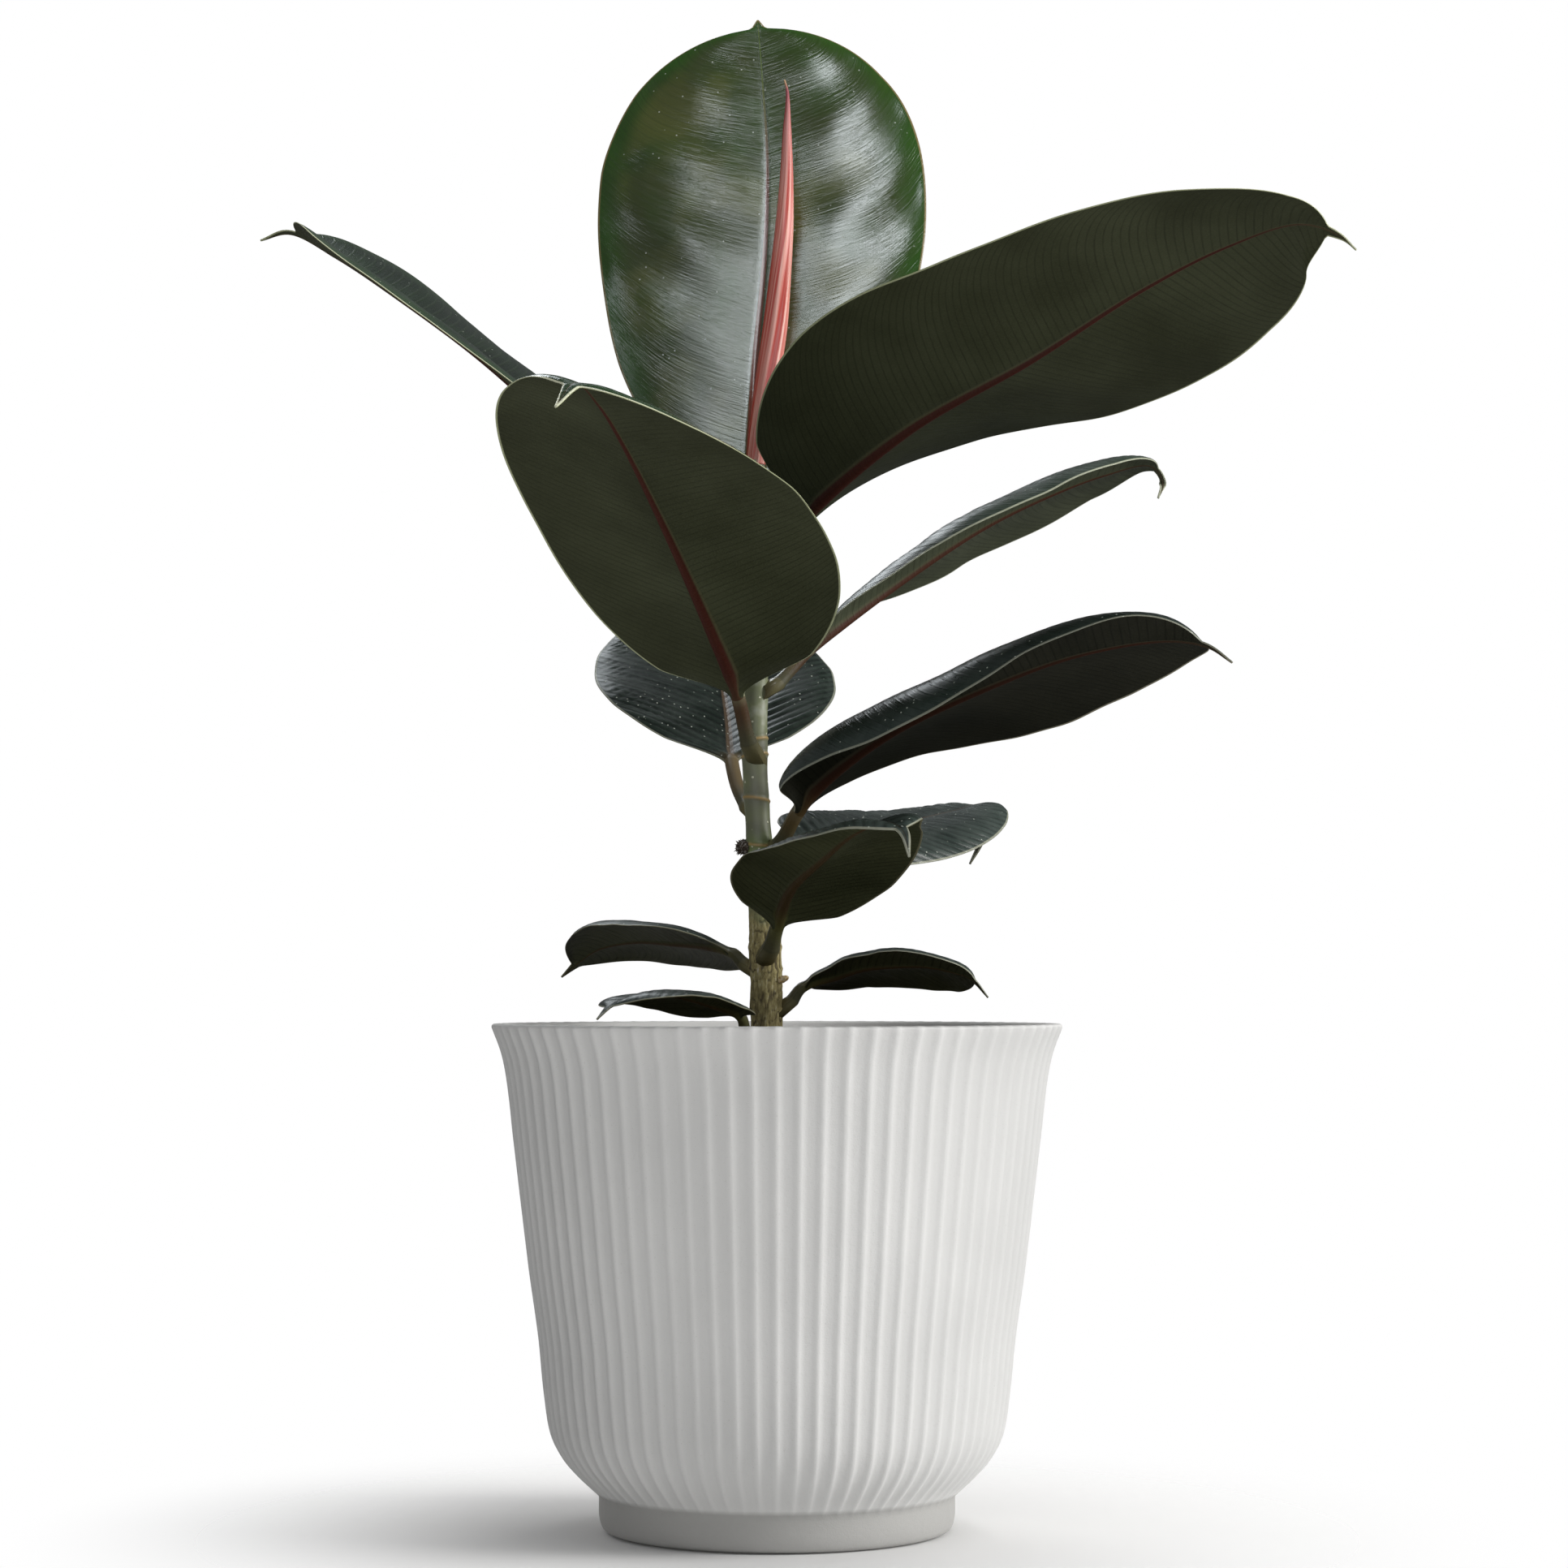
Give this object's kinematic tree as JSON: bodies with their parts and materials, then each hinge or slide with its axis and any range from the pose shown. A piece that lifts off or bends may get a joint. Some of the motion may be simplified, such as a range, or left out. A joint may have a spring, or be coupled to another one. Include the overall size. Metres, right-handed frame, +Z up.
{
  "type": "potted rubber plant",
  "caption": "Young rubber fig with dark glossy oval leaves, an upright stem and a coral sheath, in a round fluted white pot that flares to its rim and rests on a foot ring.",
  "frame": {"origin": "centre of the pot's foot, on the ground", "axes": "+Z up along the pot's axis, -Y towards the viewer's side of the plant, +X to the viewer's right"},
  "size_m": [0.4217, 0.3348, 0.6012],
  "materials": {
    "pot_ceramic": "matte",
    "potting_mix": "matte",
    "bark": "matte",
    "leaf_skin": "satin",
    "sheath_skin": "satin",
    "bud_skin": "matte",
    "dried_bark": "matte"
  },
  "bodies": {
    "root": {"pot": "pot_ceramic", "potting_soil": "potting_mix", "stem": "bark", "top_leaf": "leaf_skin", "upper_right_leaf": "leaf_skin", "upper_left_leaf": "leaf_skin", "middle_right_leaf": "leaf_skin", "front_leaf": "leaf_skin", "lower_right_leaf": "leaf_skin", "back_leaf": "leaf_skin", "back_right_leaf": "leaf_skin", "lower_front_leaf": "leaf_skin", "lower_left_leaf": "leaf_skin", "rim_left_leaf": "leaf_skin", "rim_right_leaf": "leaf_skin", "new_leaf_sheath": "sheath_skin", "side_bud": "bud_skin", "dried_stub": "dried_bark"}
  },
  "joints": []
}
